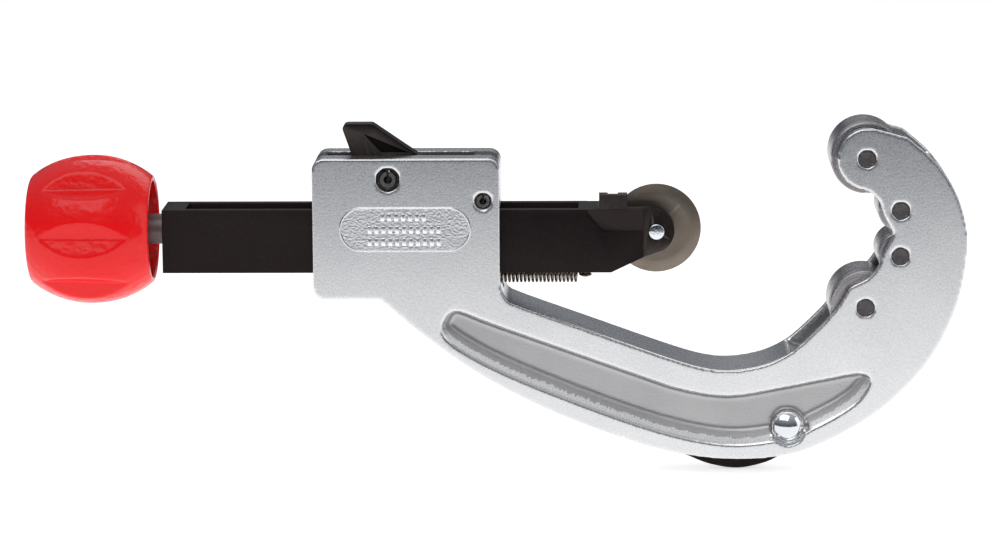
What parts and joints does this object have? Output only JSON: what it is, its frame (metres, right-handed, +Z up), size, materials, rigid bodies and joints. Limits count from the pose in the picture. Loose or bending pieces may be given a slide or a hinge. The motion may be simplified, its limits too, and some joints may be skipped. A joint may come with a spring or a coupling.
{
  "type": "pipe cutter",
  "caption": "Hand tube cutter with a cast hook frame, a screw-fed slide that carries a cutting wheel, support rollers and a quick-release thumb lever.",
  "frame": {"origin": "centre of the largest tube when it rests on the two outer rollers, on the feed screw's axis, in the middle of the frame's thickness", "axes": "+X along the feed screw from the knob towards the rollers, +Y across the tool, +Z up from the arm towards the hook's tip"},
  "size_m": [0.2797, 0.0436, 0.1063],
  "materials": {
    "cast_alloy": "satin, tumbled and clear-coated casting",
    "knob_red": "orange-peel enamel",
    "black_steel": "black oxide",
    "wheel_steel": "ground tool steel, heat-tinted",
    "roller_steel": "turned and lightly oiled",
    "pin_steel": "dark phosphated ends",
    "bright_steel": "zinc plated",
    "spring_steel": "oiled music wire",
    "bronze": "turned"
  },
  "bodies": {
    "frame": {"frame": "cast_alloy", "lever_pivot_pin": "pin_steel", "guide_pin": "pin_steel", "spring_rear_pin": "pin_steel", "roller_pin_1": "pin_steel", "roller_pin_2": "pin_steel", "roller_pin_3": "pin_steel", "roller_pin_4": "pin_steel", "reamer_rivet": "bright_steel", "reamer_washer": "spring_steel", "return_spring": "spring_steel", "lever_spring": "spring_steel"},
    "slide": {"slide_bar": "black_steel", "wheel_fork": "black_steel", "stop_block": "black_steel", "end_bush": "bronze", "spring_front_pin": "pin_steel", "wheel_pin": "bright_steel", "wheel_pin_ring": "spring_steel"},
    "screw": {"feed_screw": "pin_steel", "retaining_ring": "spring_steel", "knob": "knob_red", "knob_pin": "pin_steel"},
    "lever": {"release_lever": "black_steel"},
    "nut": {"half_nut": "roller_steel", "half_nut_pin": "pin_steel"},
    "wheel": {"cutter_wheel": "wheel_steel"},
    "roller_1": {"roller_1": "roller_steel"},
    "roller_2": {"roller_2": "roller_steel"},
    "roller_3": {"roller_3": "roller_steel"},
    "roller_4": {"roller_4": "roller_steel"},
    "reamer": {"reamer_blade": "black_steel"}
  },
  "joints": [
    {"name": "slide_travel", "type": "slide", "parent": "frame", "child": "slide", "axis": [1, 0, 0], "range_m": [-0.02801, 0.04601], "deforming": ["return_spring"]},
    {"name": "knob_turn", "type": "hinge", "parent": "slide", "child": "screw", "pos_m": [-0.1733, 0, 0], "axis": [1, 0, 0], "range_deg": [-3360, 5520]},
    {"name": "lever_press", "type": "hinge", "parent": "frame", "child": "lever", "pos_m": [-0.1055, 0, 0.0164], "axis": [0, -1, 0], "range_deg": [0, 12], "stiffness_Nm_per_rad": 0.6, "springref_deg": -14.32, "deforming": ["lever_spring"]},
    {"name": "nut_lift", "type": "slide", "parent": "frame", "child": "nut", "axis": [0, 0, 1], "range_m": [0, 0.0032]},
    {"name": "wheel_spin", "type": "hinge", "parent": "slide", "child": "wheel", "pos_m": [-0.0258, 0, 0], "axis": [0, 1, 0], "continuous": true},
    {"name": "roller_1_spin", "type": "hinge", "parent": "frame", "child": "roller_1", "pos_m": [0.0362, 0, 0.0223], "axis": [0, 1, 0], "continuous": true},
    {"name": "roller_2_spin", "type": "hinge", "parent": "frame", "child": "roller_2", "pos_m": [0.0464, 0, 0.00685], "axis": [0, 1, 0], "continuous": true},
    {"name": "roller_3_spin", "type": "hinge", "parent": "frame", "child": "roller_3", "pos_m": [0.0464, 0, -0.00685], "axis": [0, 1, 0], "continuous": true},
    {"name": "roller_4_spin", "type": "hinge", "parent": "frame", "child": "roller_4", "pos_m": [0.0362, 0, -0.0223], "axis": [0, 1, 0], "continuous": true},
    {"name": "reamer_fold", "type": "hinge", "parent": "frame", "child": "reamer", "pos_m": [0.0135, 0, -0.059], "axis": [0, -1, 0], "range_deg": [0, 100]}
  ],
  "couplings": [
    {"joint": "slide_travel", "follows": "knob_turn", "m_per_rad": 0.00047746},
    {"joint": "nut_lift", "follows": "lever_press", "m_per_rad": 0.015}
  ]
}
